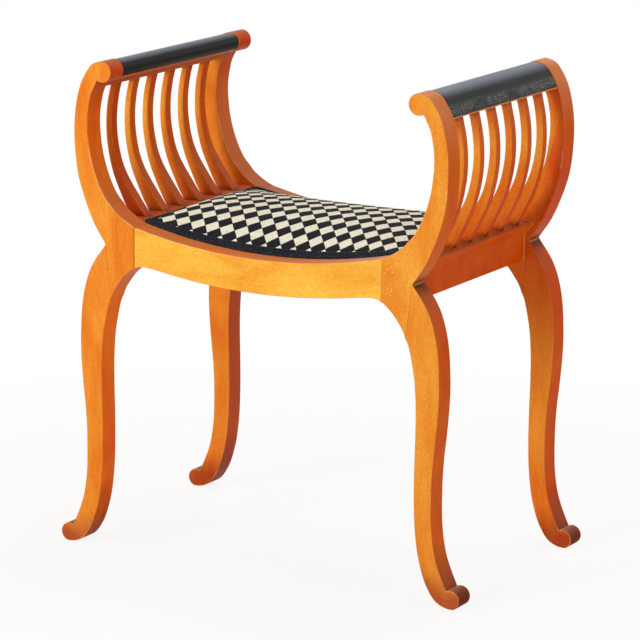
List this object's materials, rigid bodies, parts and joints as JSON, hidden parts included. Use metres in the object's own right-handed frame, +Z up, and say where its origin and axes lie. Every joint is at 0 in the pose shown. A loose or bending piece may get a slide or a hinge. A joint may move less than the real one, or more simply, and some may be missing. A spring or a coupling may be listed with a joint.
{
  "type": "window stool",
  "caption": "Window stool in stained wood: scrolled arms crossing over outswept cabriole-like legs, slatted ends, leather-wrapped crest rails and a chequered upholstered seat.",
  "frame": {"origin": "on the floor, under the middle of the stool", "axes": "+Z up, +X towards the sitter's end called right, +Y from the front frame to the back frame"},
  "size_m": [0.6288, 0.3636, 0.68],
  "materials": {
    "stained_beech": "satin lacquer over an orange-brown stain",
    "bare_beech": "unfinished",
    "plywood": "unfinished",
    "leathercloth": "satin, finely grained",
    "check_fabric": "woven, matt",
    "braid": "woven braid, matt",
    "screw_steel": "zinc plated"
  },
  "bodies": {
    "root": {"front_rail": "stained_beech", "front_right_arm": "stained_beech", "front_right_leg": "stained_beech", "front_right_splice_tongue": "bare_beech", "front_right_rail_dowel_1": "bare_beech", "front_right_end_dowel_1": "bare_beech", "front_right_rail_dowel_2": "bare_beech", "front_right_end_dowel_2": "bare_beech", "front_left_arm": "stained_beech", "front_left_leg": "stained_beech", "front_left_splice_tongue": "bare_beech", "front_left_rail_dowel_1": "bare_beech", "front_left_end_dowel_1": "bare_beech", "front_left_rail_dowel_2": "bare_beech", "front_left_end_dowel_2": "bare_beech", "back_rail": "stained_beech", "back_right_arm": "stained_beech", "back_right_leg": "stained_beech", "back_right_splice_tongue": "bare_beech", "back_right_rail_dowel_1": "bare_beech", "back_right_end_dowel_1": "bare_beech", "back_right_rail_dowel_2": "bare_beech", "back_right_end_dowel_2": "bare_beech", "back_left_arm": "stained_beech", "back_left_leg": "stained_beech", "back_left_splice_tongue": "bare_beech", "back_left_rail_dowel_1": "bare_beech", "back_left_end_dowel_1": "bare_beech", "back_left_rail_dowel_2": "bare_beech", "back_left_end_dowel_2": "bare_beech", "right_end_rail": "stained_beech", "right_crest_rail": "stained_beech", "right_crest_cloth": "leathercloth", "right_slat_1": "stained_beech", "right_slat_2": "stained_beech", "right_slat_3": "stained_beech", "right_slat_4": "stained_beech", "right_slat_5": "stained_beech", "right_slat_6": "stained_beech", "left_end_rail": "stained_beech", "left_crest_rail": "stained_beech", "left_crest_cloth": "leathercloth", "left_slat_1": "stained_beech", "left_slat_2": "stained_beech", "left_slat_3": "stained_beech", "left_slat_4": "stained_beech", "left_slat_5": "stained_beech", "left_slat_6": "stained_beech", "seat_pad": "check_fabric", "seat_braid": "braid", "seat_board": "plywood", "front_right_corner_block": "bare_beech", "front_right_seat_screw": "screw_steel", "front_left_corner_block": "bare_beech", "front_left_seat_screw": "screw_steel", "back_right_corner_block": "bare_beech", "back_right_seat_screw": "screw_steel", "back_left_corner_block": "bare_beech", "back_left_seat_screw": "screw_steel"}
  },
  "joints": []
}
